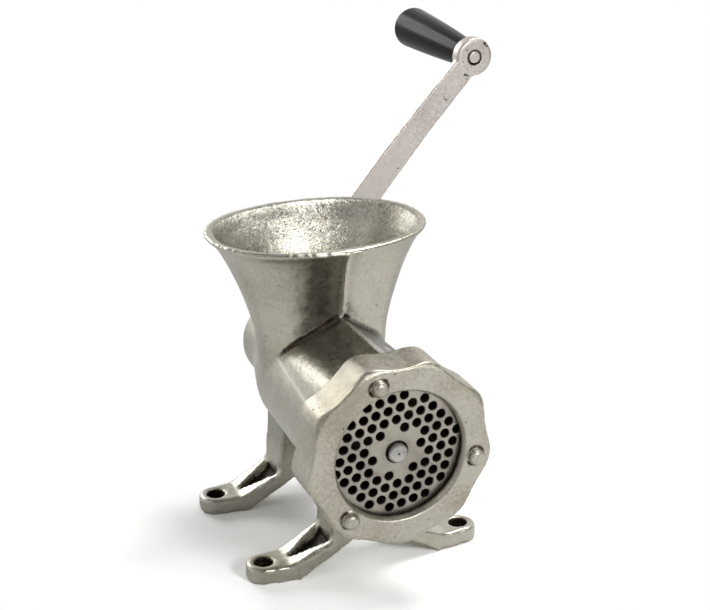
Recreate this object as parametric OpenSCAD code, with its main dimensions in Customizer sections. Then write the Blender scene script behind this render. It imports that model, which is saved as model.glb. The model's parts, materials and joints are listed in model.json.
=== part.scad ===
// Bolt-down hand crank meat grinder, size 22: cast body, worm, knife, plate, ring nut and crank.
// Millimetres, +Z up. The origin is the middle of the four foot holes, on the bench.
// +Y runs along the barrel axis towards the crank, and the plate faces -Y.

/* [Body] */
// Height of the barrel axis above the bench
axis_h = 90.5; // [88:0.5:98]
// Distance from the middle of the feet forward to the barrel mouth
mouth_front = 95.5; // [94:0.5:104]
// Distance from the middle of the feet back to the rear wall of the barrel
chamber_back = 44; // [42:0.5:46]
// Thickness of the rear wall of the barrel
rear_wall = 8; // [7:0.5:10]
// Length of the rear bearing boss behind the wall
boss_l = 34; // [30:0.5:38]
// Outer radius of the rear bearing boss
boss_r = 28; // [24:0.5:30]
// Outer radius of the barrel behind the ring nut
barrel_front_r = 42; // [41:0.25:42.5]
// Outer radius of the barrel where its rear taper starts
barrel_rear_r = 38.5; // [37.5:0.25:39.5]
// Bore radius of the barrel behind the plate seat
bore_front_r = 35; // [34.5:0.25:36]
// Bore radius of the barrel at its rear wall
bore_rear_r = 30.5; // [29.5:0.25:31]
// Height of the roof ridge above the barrel axis
roof_h = 48.5; // [46:0.5:52]
// Radius of the threaded mouth
mouth_r = 45.6; // [44.5:0.1:47]
// Length of the threaded mouth
mouth_l = 19; // [17:0.5:22]
// Number of straight ribs inside the barrel
bore_ribs = 6; // [4:1:8]
// Height of the ribs inside the barrel
bore_rib_h = 1.8; // [1:0.1:2]

/* [Hopper] */
// Height of the rim above the barrel axis
rim_h = 92.5; // [85:0.5:105]
// Half width of the rim across the barrel
rim_a = 66.2; // [60:0.2:72]
// Half length of the rim along the barrel
rim_b = 50.6; // [45:0.2:55]
// Distance of the rim centre behind the middle of the feet
rim_y = 24.6; // [22:0.2:30]
// Height above the barrel axis where the neck starts to flare
neck_h = 27; // [24:0.5:32]
// Half width of the neck
neck_a = 39.6; // [38:0.2:42]
// Half length of the neck
neck_b = 27.2; // [25:0.2:30]
// Distance of the neck centre behind the middle of the feet
neck_y = 18.4; // [16:0.2:19.4]
// Wall thickness of the hopper
hopper_wall = 4.6; // [4:0.1:6]
// How far the parting ridge stands proud of the front of the hopper
ridge_proud = 4; // [2:0.1:5]

/* [Feet] */
// Side-to-side distance between the foot holes
foot_pitch_x = 122; // [118:0.5:136]
// Front-to-back distance between the foot holes
foot_pitch_y = 90.5; // [88:0.5:92]
// Radius of the foot holes
foot_hole_r = 5; // [4:0.25:5.5]
// Radius of the rounded end of a foot
foot_pad_r = 10.2; // [9.5:0.1:12]
// Thickness of a foot at its hole
foot_t = 9.5; // [8:0.1:12]
// Distance from the hole in to the heel where the foot leaves the bench
foot_heel = 18; // [14:0.5:22]
// Slope of the legs up towards the barrel, in degrees
leg_slope = 32; // [28:0.5:34]
// Half width of a leg where it meets its pedestal
leg_root = 14.6; // [13.5:0.1:16]
// Half width of the pedestals between the legs and the barrel
pedestal_a = 23; // [21:0.25:25]
// Wall left beside and below the pocket in a leg
leg_wall = 4.4; // [3.6:0.1:5]

/* [Plate and ring nut] */
// Radius of the grinding plate
plate_r = 41; // [40.6:0.05:41.2]
// Thickness of the grinding plate
plate_t = 9; // [7.5:0.25:10]
// Radius of the centre hole of the plate
plate_bore_r = 6.5; // [6.2:0.1:7]
// Radius of the grinding holes
plate_hole_r = 2.65; // [2:0.05:2.9]
// Distance between neighbouring grinding holes
plate_pitch = 7.25; // [7:0.05:8.5]
// Turn of the rows of grinding holes, in degrees
plate_turn = 11.5; // [0:0.5:30]
// Radius of the opening in the ring nut
ring_open_r = 37; // [35:0.25:38]
// Thickness of the lip that holds the plate
ring_lip = 6; // [5:0.25:7.5]
// Depth of the ring nut
ring_depth = 25.5; // [24:0.25:27]
// Radius over the lobes of the ring nut
ring_lobe_r = 54.8; // [53:0.2:57]
// Radius between the lobes of the ring nut
ring_valley_r = 51; // [49.4:0.1:52]
// Number of lobes on the ring nut
ring_lobes = 9; // [7:1:11]
// Rounding of the outer edges of the ring nut
ring_round = 3.2; // [2:0.1:3.6]
// Radius of the three wrench lugs on the ring nut
lug_r = 4.4; // [4:0.1:4.8]
// Height of the three wrench lugs
lug_h = 4.6; // [3:0.1:5.5]

/* [Worm and knife] */
// Clearance between the worm flight and the ribs of the barrel
worm_gap = 1; // [0.5:0.1:1.5]
// Radius of the worm core at its rear end
core_rear_r = 13; // [12.6:0.2:15]
// Radius of the worm core at its front end
core_front_r = 17; // [15.5:0.25:18]
// Pitch of the worm flight
worm_pitch = 34; // [30:1:40]
// Thickness of the worm flight at its edge
flight_t = 4.5; // [3.5:0.1:6]
// Radius of the worm's rear journal
journal_r = 12; // [10.5:0.1:12.4]
// Radial running clearance of the journal and of the grip
fit_gap = 0.05; // [0.02:0.01:0.09]
// Width across flats of the square drives for knife and crank
drive_sq = 12; // [10.5:0.1:12.5]
// Thickness of the knife
knife_t = 9; // [8:0.25:10]
// Reach of the knife blades from the axis
knife_r = 33; // [30:0.25:33.4]
// How far the stud stands out of the plate
stud_proud = 3; // [1:0.25:4.5]

/* [Crank and grip] */
// Distance from the barrel axis to the grip axis
crank_l = 211; // [180:1:240]
// Angle of the crank above the horizontal, in degrees
crank_angle = 51; // [0:0.5:90]
// Bow of the crank arm from a straight line
crank_bow = 5; // [3:0.25:8]
// Width of the crank arm at its hub
arm_hub_w = 20.5; // [18:0.25:23]
// Width of the crank arm at its eye
arm_eye_w = 15.2; // [13:0.2:17]
// Thickness of the crank arm
arm_t = 4.6; // [3.6:0.1:6]
// Radius of the hub of the crank
hub_r = 16; // [14.5:0.25:18]
// Length of the hub of the crank
hub_l = 13; // [12:0.25:15]
// Radius of the eye at the end of the crank
eye_r = 12.1; // [11.4:0.1:13.5]
// Thickness of the eye
eye_t = 8.4; // [7:0.1:10]
// Radius of the grip at the crank
grip_small_r = 8.4; // [7.8:0.1:10]
// Radius of the grip at its free end
grip_big_r = 13.3; // [11:0.1:14]
// Length of the grip
grip_l = 90; // [80:0.5:110]
// Radius of the pin that the grip turns on
grip_pin_r = 4; // [3.4:0.1:4.4]

/* [Hidden] */
$fn = 72;
tinned = [0.72, 0.70, 0.66];
steel = [0.78, 0.77, 0.74];
rest_gap = 0.3;              // air left between neighbouring faces of different bodies
joint_skin = 0.05;           // air between parts of one body that slide together
plate_front_y = -mouth_front - 0.5;
plate_rear_y = plate_front_y + plate_t;
seat_y = plate_rear_y + rest_gap;
seat_r = plate_r + 0.3;
ring_front_y = plate_front_y - rest_gap - ring_lip;
ring_bore_r = mouth_r + 0.4;
barrel_end_y = chamber_back + rear_wall;
boss_end_y = barrel_end_y + boss_l;
taper_y = chamber_back - 18;    // where the outside of the barrel starts to narrow
worm_front_y = plate_rear_y + rest_gap + knife_t;
washer_t = 1.4;
worm_rear_y = chamber_back - 2 * rest_gap - washer_t;
worm_r = bore_rear_r - bore_rib_h - worm_gap;
ridge_steps = 48;            // points round one section of the hopper; the ridge is one of them
hub_front_y = boss_end_y + 1.5;
hub_rear_y = hub_front_y + hub_l;
arm_rear_y = hub_rear_y - 1.5;
arm_front_y = arm_rear_y - eye_t + 0.4;
grip_washer_t = 1.2;
grip_front_y = arm_rear_y + grip_washer_t + 2 * rest_gap;

// Turns a shape drawn in x and z, as seen from the front, so that its thickness runs back to y1.
module upright(y0, y1) {
    translate([0, y1, 0]) rotate([90, 0, 0]) linear_extrude(y1 - y0) children();
}

// The same, drawn round the barrel axis.
module upright_axis(y0, y1) {
    translate([0, y1, axis_h]) rotate([90, 0, 0]) linear_extrude(y1 - y0) children();
}

// Revolves a profile of [radius, y] points round the barrel axis.
module turned(profile) {
    translate([0, 0, axis_h]) rotate([-90, 0, 0]) rotate_extrude() polygon(profile);
}

// Cylinder along the barrel axis from y0 to y1.
module rod(r, y0, y1) {
    translate([0, y0, axis_h]) rotate([-90, 0, 0]) cylinder(r = r, h = y1 - y0);
}

function arc(x, y, r, a0, a1, n = 6) =
    [for (i = [0:n]) [x + r * cos(a0 + (a1 - a0) * i / n), y + r * sin(a0 + (a1 - a0) * i / n)]];

// ---------------------------------------------------------------- body casting

// Outside of the barrel, the threaded mouth and the rear bearing boss.
module barrel_outside() {
    turned(concat(
        [[0, -mouth_front]],
        [[mouth_r - 1.5, -mouth_front], [mouth_r, -mouth_front + 1.5]],
        [[mouth_r, -mouth_front + mouth_l], [barrel_front_r, -mouth_front + mouth_l + 2]],
        [[barrel_rear_r, taper_y], [barrel_rear_r - 0.8, taper_y + 4]],
        [[boss_r + 2.5, barrel_end_y + 4], [boss_r + 0.6, barrel_end_y + 8]],
        [[boss_r, barrel_end_y + 12]],
        arc(boss_r - 3, boss_end_y - 3, 3, 0, 90),
        [[0, boss_end_y]]));
}

// Gabled roof that carries the parting ridge from the mouth back to the neck.
module barrel_roof() {
    r = barrel_rear_r + 1;
    lean = acos(r / roof_h);
    upright_axis(-mouth_front + mouth_l + 1, neck_y)
        polygon([[0, 0], [-r * sin(lean), r * cos(lean)], [-0.8, roof_h - 0.6], [0, roof_h],
            [0.8, roof_h - 0.6], [r * sin(lean), r * cos(lean)]]);
}

// One section of the hopper: a full oval whose front carries the parting ridge.
function oval(a, b, y, z, proud) = [for (i = [0:ridge_steps - 1])
    let (t = 360 * i / ridge_steps, c = cos(t), s = sin(t), n = 2 / 2.15,
        bow = s < 0 ? proud * pow(max(0, 1 - abs(c) / 0.42), 1.6) : 0)
    [a * sign(c) * pow(abs(c), n), y + b * sign(s) * pow(abs(s), n) - bow, z]];

// Section at height z above the axis, drawn in by the wall w.
function climb(z) = max(0, (min(z, rim_h) - neck_h) / (rim_h - neck_h));
function flare(z) = 0.85 * pow(climb(z), 1.4) + 0.15 * pow(climb(z), 8);
function ridge(z) = (0.45 + 0.4 * climb(z)) * (1 - 0.75 * pow(climb(z), 6));
function hopper_section(z, w, proud) =
    let (f = flare(z), low = 2 * max(0, 1 - z / neck_h))
    oval(neck_a + (rim_a - neck_a) * f - w - low, neck_b + (rim_b - neck_b) * f - w - low,
        neck_y + (rim_y - neck_y) * f, axis_h + z, proud * ridge(z));

// Closed solid through a list of sections with the same number of points.
module loft(sections) {
    n = len(sections[0]);
    m = len(sections);
    points = [for (s = sections) each s];
    sides = [for (j = [0:m - 2], i = [0:n - 1])
        each [[j * n + i, (j + 1) * n + i, (j + 1) * n + (i + 1) % n],
            [j * n + i, (j + 1) * n + (i + 1) % n, j * n + (i + 1) % n]]];
    caps = [[for (i = [0:n - 1]) i], [for (i = [n - 1:-1:0]) (m - 1) * n + i]];
    polyhedron(points, concat(sides, caps));
}

hopper_heights = [for (i = [0:9]) neck_h + (rim_h - hopper_wall - neck_h) * i / 9];
rim_round = hopper_wall * 0.42;
lip_wall = hopper_wall - rim_round;    // draw-in of the top edge of the hopper's inside

module hopper_outside() {
    loft(concat(
        [hopper_section(0, 0, ridge_proud)],
        [for (z = hopper_heights) hopper_section(z, 0, ridge_proud)],
        [for (a = [0:30:90])
            hopper_section(rim_h - rim_round * (1 - sin(a)), rim_round * (1 - cos(a)), ridge_proud)]));
}

module hopper_inside() {
    loft(concat(
        [hopper_section(6, hopper_wall, 0)],
        [for (z = hopper_heights) hopper_section(z, hopper_wall, 0)],
        [for (a = [0:30:90])
            hopper_section(rim_h - rim_round * (1 - sin(a)), lip_wall + rim_round * cos(a), 0)],
        [[for (p = hopper_section(rim_h, lip_wall, 0)) [p[0], p[1], axis_h + rim_h + 8]]]));
}

// Side view of a pair of legs, seen along the barrel, from the bench up to the barrel.
heel_x = foot_pitch_x / 2 - foot_heel;
rise = tan(leg_slope);
crown_x = 8;
module leg_profile() {
    top_x = heel_x + 4;
    crown = (heel_x - crown_x) * rise;
    knee_x = pedestal_a + 6;
    knee_z = foot_t + (top_x - knee_x) * rise * 0.82;
    half = concat(
        [[crown_x, crown], [heel_x, 0], [foot_pitch_x / 2 + foot_pad_r, 0]],
        [[foot_pitch_x / 2 + foot_pad_r, foot_t], [top_x + 2, foot_t], [top_x - 2, foot_t + 1.2]],
        [[knee_x, knee_z]],
        arc(knee_x + 1, knee_z + 7, 7, 262, 190, 5),
        [[pedestal_a, knee_z + 12]],
        [[pedestal_a - 2.5, axis_h - barrel_rear_r + 8], [boss_r / 2, axis_h - boss_r * 0.72]]);
    polygon(concat(half, [for (i = [len(half) - 1:-1:0]) [-half[i][0], half[i][1]]]));
}

// Plan of a pair of legs, seen from above, round their own middle line.
module leg_plan(shrink = 0) {
    for (side = [-1, 1]) {
        translate([side * foot_pitch_x / 2, 0]) circle(r = foot_pad_r - shrink);
    }
    x = foot_pitch_x / 2;
    polygon([[-x, foot_pad_r - shrink], [-pedestal_a, leg_root - shrink], [pedestal_a, leg_root - shrink],
        [x, foot_pad_r - shrink], [x, -foot_pad_r + shrink], [pedestal_a, -leg_root + shrink],
        [-pedestal_a, -leg_root + shrink], [-x, -foot_pad_r + shrink]]);
}

// Triangular pocket between the two ribs of one leg.
module leg_pocket() {
    tip_x = heel_x + 5;
    root_x = pedestal_a - 1;
    floor_lift = leg_wall * 0.8;
    intersection() {
        linear_extrude(axis_h) polygon([[tip_x, 0], [root_x, leg_root - leg_wall],
            [root_x, -leg_root + leg_wall]]);
        upright(-leg_root, leg_root) polygon([
            [tip_x + 6, floor_lift - 2], [tip_x + 6, axis_h],
            [root_x - 1, axis_h], [root_x - 1, (heel_x - root_x) * rise + floor_lift]]);
    }
}

module leg_pair() {
    difference() {
        intersection() {
            upright(-leg_root, leg_root) leg_profile();
            linear_extrude(axis_h) leg_plan();
        }
        for (side = [0, 1]) mirror([side, 0, 0]) leg_pocket();
    }
}

module foot_holes() {
    for (x = [-1, 1], y = [-1, 1]) {
        translate([x * foot_pitch_x / 2, y * foot_pitch_y / 2, -1])
            cylinder(r = foot_hole_r, h = foot_t + 2);
    }
}

// Chamber of the barrel with its ribs left standing in front of the throat.
module barrel_inside() {
    rib_back = neck_y - neck_b + hopper_wall;
    difference() {
        turned([[0, seat_y - 1], [bore_front_r, seat_y - 1], [bore_rear_r, chamber_back],
            [0, chamber_back]]);
        for (i = [0:bore_ribs - 1]) {
            rotate_about_axis(i * 360 / bore_ribs + 15)
                translate([-1.6, worm_front_y + 2, axis_h + bore_rear_r - bore_rib_h])
                    cube([3.2, rib_back - worm_front_y - 2, 8]);
        }
    }
    rod(seat_r, -mouth_front - 1, seat_y);
    rod(journal_r + fit_gap, chamber_back - 1, boss_end_y + 1);
}

module rotate_about_axis(angle) {
    translate([0, 0, axis_h]) rotate([0, angle, 0]) translate([0, 0, -axis_h]) children();
}

plate_pin_r = 2;
plate_pin_ring = plate_r - 1;     // radius of the circle that the locating pin stands on
plate_pin_angle = 21;             // place of the pin above the horizontal, on the right
plate_pin_root = 6;               // depth of the pin's hole behind the plate seat
module at_plate_pin(y) {
    translate([plate_pin_ring * cos(plate_pin_angle), y, axis_h + plate_pin_ring * sin(plate_pin_angle)])
        rotate([-90, 0, 0]) children();
}

module body_casting() {
    color(tinned) difference() {
        union() {
            barrel_outside();
            barrel_roof();
            hopper_outside();
            for (y = [-1, 1]) translate([0, y * foot_pitch_y / 2, 0]) leg_pair();
        }
        barrel_inside();
        hopper_inside();
        foot_holes();
        at_plate_pin(-mouth_front - 1)
            cylinder(r = plate_pin_r + joint_skin, h = seat_y + plate_pin_root + mouth_front + 1, $fn = 24);
    }
}

// ---------------------------------------------------------------- plate, pin and ring nut

// Sites of the grinding holes: a hexagonal grid without its middle and four of its corners.
function grid_site(i, j) = [plate_pitch * (i + j / 2), plate_pitch * j * sqrt(3) / 2];
reach = floor((plate_r - plate_hole_r) / plate_pitch);
module plate_holes() {
    for (i = [-2 * reach:2 * reach], j = [-reach:reach]) {
        site = grid_site(i, j);
        d = norm(site);
        if (d > plate_pitch * 1.9 && d < plate_r - plate_hole_r - 0.5
            && (d < plate_pitch * 4.9 || (d < plate_pitch * 5.05 && abs(site[1]) < 1)))
            translate(site) circle(r = plate_hole_r, $fn = 24);
    }
}

module grinding_plate() {
    notch_r = plate_pin_r + 0.35;
    color(steel) upright_axis(plate_front_y, plate_rear_y) difference() {
        circle(r = plate_r, $fn = 96);
        circle(r = plate_bore_r);
        rotate(plate_turn) plate_holes();
        rotate(plate_pin_angle) translate([plate_pin_ring, 0]) {
            circle(r = notch_r, $fn = 24);
            translate([0, -notch_r]) square([2 * notch_r, 2 * notch_r]);
        }
    }
}

module plate_pin() {
    color(steel) at_plate_pin(plate_front_y + 1.5)
        cylinder(r = plate_pin_r, h = seat_y + plate_pin_root - 0.5 - plate_front_y - 1.5, $fn = 24);
}

// Radius of the lobed outline at an angle.
function lobed(angle) = let (top = (1 + cos(ring_lobes * (angle + 90))) / 2)
    ring_valley_r + (ring_lobe_r - ring_valley_r) * pow(top, 1.4);
lobe_steps = 16 * ring_lobes;

module ring_nut() {
    back = ring_front_y + ring_depth;
    face_r = ring_valley_r + 0.4;
    lip_bevel = ring_lip * 0.28;
    color(tinned) difference() {
        union() {
            intersection() {
                upright_axis(ring_front_y, back)
                    polygon([for (i = [0:lobe_steps - 1]) let (a = 360 * i / lobe_steps)
                        lobed(a) * [cos(a), sin(a)]]);
                turned([[0, ring_front_y], [face_r, ring_front_y],
                    [face_r + ring_round * 0.6, ring_front_y + ring_round * 0.3],
                    [ring_lobe_r + 1, ring_front_y + ring_round], [ring_lobe_r + 1, back - ring_round * 0.4],
                    [ring_lobe_r - ring_round * 0.4, back], [0, back]]);
            }
            for (a = [107, -10, -133]) rotate_about_axis(90 - a)
                translate([0, ring_front_y, axis_h + (ring_open_r + ring_lobe_r) / 2 - 1.6])
                    rotate([90, 0, 0]) wrench_lug();
        }
        turned([[0, ring_front_y - 9], [ring_open_r + lip_bevel, ring_front_y - 9],
            [ring_open_r + lip_bevel, ring_front_y], [ring_open_r, ring_front_y + ring_lip * 0.45],
            [ring_open_r, plate_front_y - rest_gap],
            [ring_bore_r, plate_front_y - rest_gap], [ring_bore_r, back + 1], [0, back + 1]]);
    }
}

// Round lug with a domed end, standing up from z = 0 and rooted below it.
module wrench_lug() {
    rotate_extrude() polygon(concat([[0, -2], [lug_r + 0.8, -2], [lug_r + 0.8, -0.4], [lug_r, 0.8]],
        arc(lug_r - 2.4, lug_h - 2.4, 2.4, 0, 90), [[0, lug_h]]));
}

// ---------------------------------------------------------------- worm, stud, knife, washer

// Square bar with its corners turned down, along the barrel axis.
module square_bar(w, y0, y1) {
    intersection() {
        upright_axis(y0, y1) square([w, w], center = true);
        rod(w * 0.62, y0 - 1, y1 + 1);
    }
}

knife_socket = drive_sq + 0.3;
module cutter_knife() {
    y0 = plate_rear_y + rest_gap;
    hub = 13;
    color(steel) difference() {
        union() {
            rod(hub, y0 + 1, y0 + knife_t);
            for (i = [0:3]) rotate_about_axis(i * 90 + 20) intersection() {
                translate([0, y0, axis_h]) knife_blade();
                rod(knife_r, y0 - 1, y0 + knife_t + 1);
            }
        }
        square_bar(knife_socket, y0 - 1, y0 + knife_t + 1);
    }
}

// Blade with its cutting edge on the plate side and a swept, thinner back.
module knife_blade() {
    linear_extrude(knife_r) polygon([[-4.5, 0], [3.5, 0], [6.5, 2], [6.5, knife_t - 2.5],
        [-1.5, knife_t - 2.5], [-4.5, 2.5]]);
}

// Helical flight as one closed solid, swept from its own four-sided section.
module flight() {
    y_back = worm_rear_y - flight_t - 0.5;
    y_front = worm_front_y + flight_t;
    turns = (y_back - y_front) / worm_pitch;
    n = round(turns * 30);
    root_r = core_rear_r * 0.7;
    root_t = flight_t * 1.7;
    section = [[root_r, -root_t / 2], [worm_r - 1.2, -flight_t / 2], [worm_r, -flight_t / 2 + 1.2],
        [worm_r, flight_t / 2 - 1.2], [worm_r - 1.2, flight_t / 2], [root_r, root_t / 2]];
    loft([for (k = [0:n]) let (a = 360 * turns * k / n, y = y_back - (y_back - y_front) * k / n)
        [for (p = section) [p[0] * cos(a), y + p[1], axis_h + p[0] * sin(a)]]]);
}

stud_root = 16;
stud_r = 6;
crank_screw_r = 4.5;
crank_screw_root = 21;
module feed_worm() {
    square_end = hub_rear_y - 1;
    color(tinned) difference() {
        union() {
            turned([[0, worm_front_y], [core_front_r - 1, worm_front_y], [core_front_r, worm_front_y + 1],
                [core_rear_r, worm_rear_y - 8], [journal_r + 7, worm_rear_y - 5],
                [journal_r + 7, worm_rear_y], [0, worm_rear_y]]);
            rod(journal_r, worm_rear_y - 1, boss_end_y + 0.5);
            square_bar(crank_square, boss_end_y, square_end);
            flight();
        }
        rod(stud_r + joint_skin, worm_front_y - 1, worm_front_y + stud_root);
        rod(crank_screw_r + joint_skin, hub_rear_y - crank_screw_root - 1, square_end + 1);
    }
}

module worm_stud() {
    tip_r = plate_bore_r - 1;
    color(steel) {
        difference() {
            union() {
                rod(stud_r, worm_front_y - 0.5, worm_front_y + stud_root - 1);
                square_bar(drive_sq, plate_rear_y + rest_gap, worm_front_y);
                turned([[0, plate_front_y - stud_proud], [tip_r - 0.8, plate_front_y - stud_proud],
                    [tip_r, plate_front_y - stud_proud + 0.8], [tip_r, plate_rear_y + rest_gap + 1],
                    [0, plate_rear_y + rest_gap + 1]]);
            }
            turned([[0, plate_front_y - stud_proud - 1], [1.5, plate_front_y - stud_proud - 1],
                [0, plate_front_y - stud_proud + 1]]);
        }
    }
}

module thrust_washer() {
    y0 = worm_rear_y + rest_gap;
    color("burlywood") turned([[journal_r + 0.1, y0], [journal_r + 7, y0], [journal_r + 7, y0 + washer_t],
        [journal_r + 0.1, y0 + washer_t]]);
}

// ---------------------------------------------------------------- crank and grip

crank_square = 16;
eye_x = crank_l * cos(crank_angle);
eye_z = axis_h + crank_l * sin(crank_angle);

// Shapes drawn along the crank: x runs from the hub to the eye and the bow is towards +y.
module along_crank(y0, y1) {
    translate([0, y1, axis_h]) rotate([90, 0, 0]) rotate([0, 0, crank_angle])
        linear_extrude(y1 - y0) children();
}

// Centre line of the arm, and its half width, at a share t of the way to the eye.
function arm_mid(t) = [crank_l * t, 4 * crank_bow * t * (1 - t)];
function arm_half(t) = (arm_hub_w + (arm_eye_w - arm_hub_w) * t) / 2;

module crank_arm() {
    steps = 14;
    color([0.80, 0.76, 0.73]) difference() {
        union() {
            along_crank(arm_front_y, arm_front_y + arm_t) polygon(concat(
                [for (i = [0:steps]) arm_mid(i / steps) + [0, arm_half(i / steps)]],
                [for (i = [steps:-1:0]) arm_mid(i / steps) - [0, arm_half(i / steps)]]));
            turned(concat([[0, hub_front_y]], arc(hub_r - 1.5, hub_front_y + 1.5, 1.5, -90, 0),
                arc(hub_r - 1.5, hub_rear_y - 1.5, 1.5, 0, 90), [[0, hub_rear_y]]));
            translate([eye_x, 0, eye_z - axis_h]) turned(concat([[0, arm_rear_y - eye_t]],
                arc(eye_r - 1.5, arm_rear_y - eye_t + 1.5, 1.5, -90, 0),
                arc(eye_r - 1.5, arm_rear_y - 1.5, 1.5, 0, 90), [[0, arm_rear_y]]));
        }
        upright_axis(hub_front_y - 1, hub_rear_y + 1) square(crank_square + 0.3, center = true);
        at_grip() cylinder(r = grip_pin_r + joint_skin, h = 2 * eye_t, center = true);
    }
}

// Moves a shape that stands on z = 0 to the rear face of the eye, pointing back.
module at_grip() {
    translate([eye_x, arm_rear_y, eye_z]) rotate([-90, 0, 0]) children();
}

crank_washer_t = 2;
crank_washer_r = 13;
module crank_washer() {
    y0 = hub_rear_y;
    hole_r = crank_screw_r + rest_gap;
    color(steel) turned([[hole_r, y0], [crank_washer_r, y0], [crank_washer_r, y0 + crank_washer_t],
        [hole_r, y0 + crank_washer_t]]);
}

screw_head_r = 10;
screw_head_l = 9;
wing_x = 15;                 // distance of a wing's round end from the axis
wing_r = 7;
wing_t = 5;

// Wing screw that draws the crank onto the square of the worm. Its wings stand up and down.
module crank_screw() {
    y0 = hub_rear_y + crank_washer_t;
    color(steel) {
        rod(crank_screw_r, hub_rear_y - crank_screw_root, y0 + 1);
        turned([[0, y0], [screw_head_r, y0], [screw_head_r * 0.85, y0 + screw_head_l * 0.8],
            [screw_head_r * 0.7, y0 + screw_head_l], [0, y0 + screw_head_l]]);
        for (side = [-1, 1]) upright_axis(y0 + 2, y0 + 2 + wing_t) rotate(96) {
            translate([side * wing_x, wing_r * 0.6]) circle(r = wing_r, $fn = 36);
            polygon([[0, -4], [side * wing_x * 0.8, -2], [side * (wing_x + 3), 0],
                [side * wing_x * 0.8, wing_r * 1.4], [0, wing_r]]);
        }
    }
}

module grip_washer() {
    color(steel) at_grip() translate([0, 0, rest_gap]) difference() {
        cylinder(r = grip_small_r - 1, h = grip_washer_t);
        translate([0, 0, -1]) cylinder(r = grip_pin_r + 0.6, h = grip_washer_t + 2);
    }
}

pin_head_r = 7;
pin_head_t = 2.5;
pin_head_sink = 3.2;
// Shouldered pin: riveted in the eye, headed in the free end of the grip.
module handle_pin() {
    head_z = grip_front_y - arm_rear_y + grip_l - pin_head_sink;
    color(steel) at_grip() rotate_extrude() polygon([[0, -eye_t], [grip_pin_r - 0.4, -eye_t],
        [grip_pin_r, -eye_t + 0.4], [grip_pin_r, head_z], [pin_head_r, head_z],
        [pin_head_r, head_z + pin_head_t - 1], [pin_head_r - 1.5, head_z + pin_head_t],
        [0, head_z + pin_head_t]]);
}

module handle_grip() {
    z0 = grip_front_y - arm_rear_y;
    z1 = z0 + grip_l;
    round_r = grip_big_r * 0.3;
    lip_r = pin_head_r + 0.6;
    color([0.05, 0.05, 0.05]) at_grip() rotate_extrude() polygon(concat(
        [[grip_pin_r + fit_gap, z0], [grip_small_r - 1.2, z0], [grip_small_r, z0 + 1.2]],
        [for (t = [0.1:0.1:0.9]) [grip_small_r + (grip_big_r - grip_small_r) * t + 0.5 * sin(180 * t),
            z0 + (grip_l - round_r) * t]],
        arc(grip_big_r - round_r, z1 - round_r, round_r, 0, 75, 7),
        [[lip_r + 0.8, z1], [lip_r, z1 - 0.8], [lip_r, z1 - pin_head_sink - rest_gap],
            [grip_pin_r + fit_gap, z1 - pin_head_sink - rest_gap]]));
}

body_casting();
ring_nut();
grinding_plate();
plate_pin();
cutter_knife();
feed_worm();
worm_stud();
thrust_washer();
crank_arm();
crank_washer();
crank_screw();
grip_washer();
handle_pin();
handle_grip();
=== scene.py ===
"""Bolt-down hand crank meat grinder: cast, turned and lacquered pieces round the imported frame."""
import json
import math

import bmesh
import bpy
import numpy as np
from bpy.props import FloatProperty, FloatVectorProperty, IntProperty, PointerProperty
from mathutils import Matrix, Vector, noise


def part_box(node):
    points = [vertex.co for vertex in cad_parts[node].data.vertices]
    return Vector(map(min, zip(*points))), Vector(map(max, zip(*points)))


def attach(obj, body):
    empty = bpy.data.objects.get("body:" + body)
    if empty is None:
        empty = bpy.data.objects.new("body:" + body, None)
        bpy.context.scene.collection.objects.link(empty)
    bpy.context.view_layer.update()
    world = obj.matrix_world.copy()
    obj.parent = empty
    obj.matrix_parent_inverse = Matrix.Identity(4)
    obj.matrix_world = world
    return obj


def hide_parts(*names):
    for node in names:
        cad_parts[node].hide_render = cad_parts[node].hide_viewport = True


bl_info = {
    "name": "Hand crank meat grinder",
    "version": (1, 0, 0),
    "blender": (4, 5, 0),
    "location": "View3D > Sidebar > Grinder",
    "description": "Builds a bolt-down meat grinder with its worm, knife, plate, nut and crank",
    "category": "Add Mesh",
}

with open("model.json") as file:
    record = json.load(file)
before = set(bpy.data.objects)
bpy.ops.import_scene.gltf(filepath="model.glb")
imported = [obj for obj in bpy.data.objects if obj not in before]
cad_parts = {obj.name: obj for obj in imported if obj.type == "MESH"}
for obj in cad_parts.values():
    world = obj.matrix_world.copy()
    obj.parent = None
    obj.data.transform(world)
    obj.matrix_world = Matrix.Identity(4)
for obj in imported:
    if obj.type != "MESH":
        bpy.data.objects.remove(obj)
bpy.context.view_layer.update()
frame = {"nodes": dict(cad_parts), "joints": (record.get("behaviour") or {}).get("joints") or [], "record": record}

FOOT_BOLTS = {m["name"]: m for m in frame["record"]["mounts"]}["foot_bolts"]["dims"]
JOINTS = {j["name"]: j for j in frame["joints"]}
AXIS_Z = JOINTS["crank_spin"]["pos_m"][2]
GRIP_X, _, GRIP_Z = JOINTS["grip_spin"]["pos_m"]
PLATE_LOW, PLATE_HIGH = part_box("grinding_plate")
PLATE_FRONT_Y, PLATE_REAR_Y = PLATE_LOW[1], PLATE_HIGH[1]
PLATE_R = (PLATE_HIGH[0] - PLATE_LOW[0]) / 2
MOUTH_Y = PLATE_FRONT_Y + 0.0005
HOPPER_Y = 0.0215
RIM_Z = AXIS_Z + 0.0925
GRIP_LOW, GRIP_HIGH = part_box("handle_grip")
PIN_LOW, PIN_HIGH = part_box("handle_pin")

WELD = 3e-6  # points of a CAD mesh closer than this are one
STEP_OUT = 1.04  # how far a smoothing pass steps out again, for each step in
CLOSE, WIDE = 8, 60  # passes that measure narrow and broad hollows
RING_GRID, WORM_GRID, CRANK_GRID, SCREW_GRID = 0.00085, 0.0009, 0.0008, 0.0006

RIB_GROWTH = 0.0014  # on each side of a leg's pocket
MOUTH_CUT = 0.0011  # off the radius of the mouth, under the thread
RIDGE_HEIGHT = 0.0008
BEAD_HEIGHT = 0.0013

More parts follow.
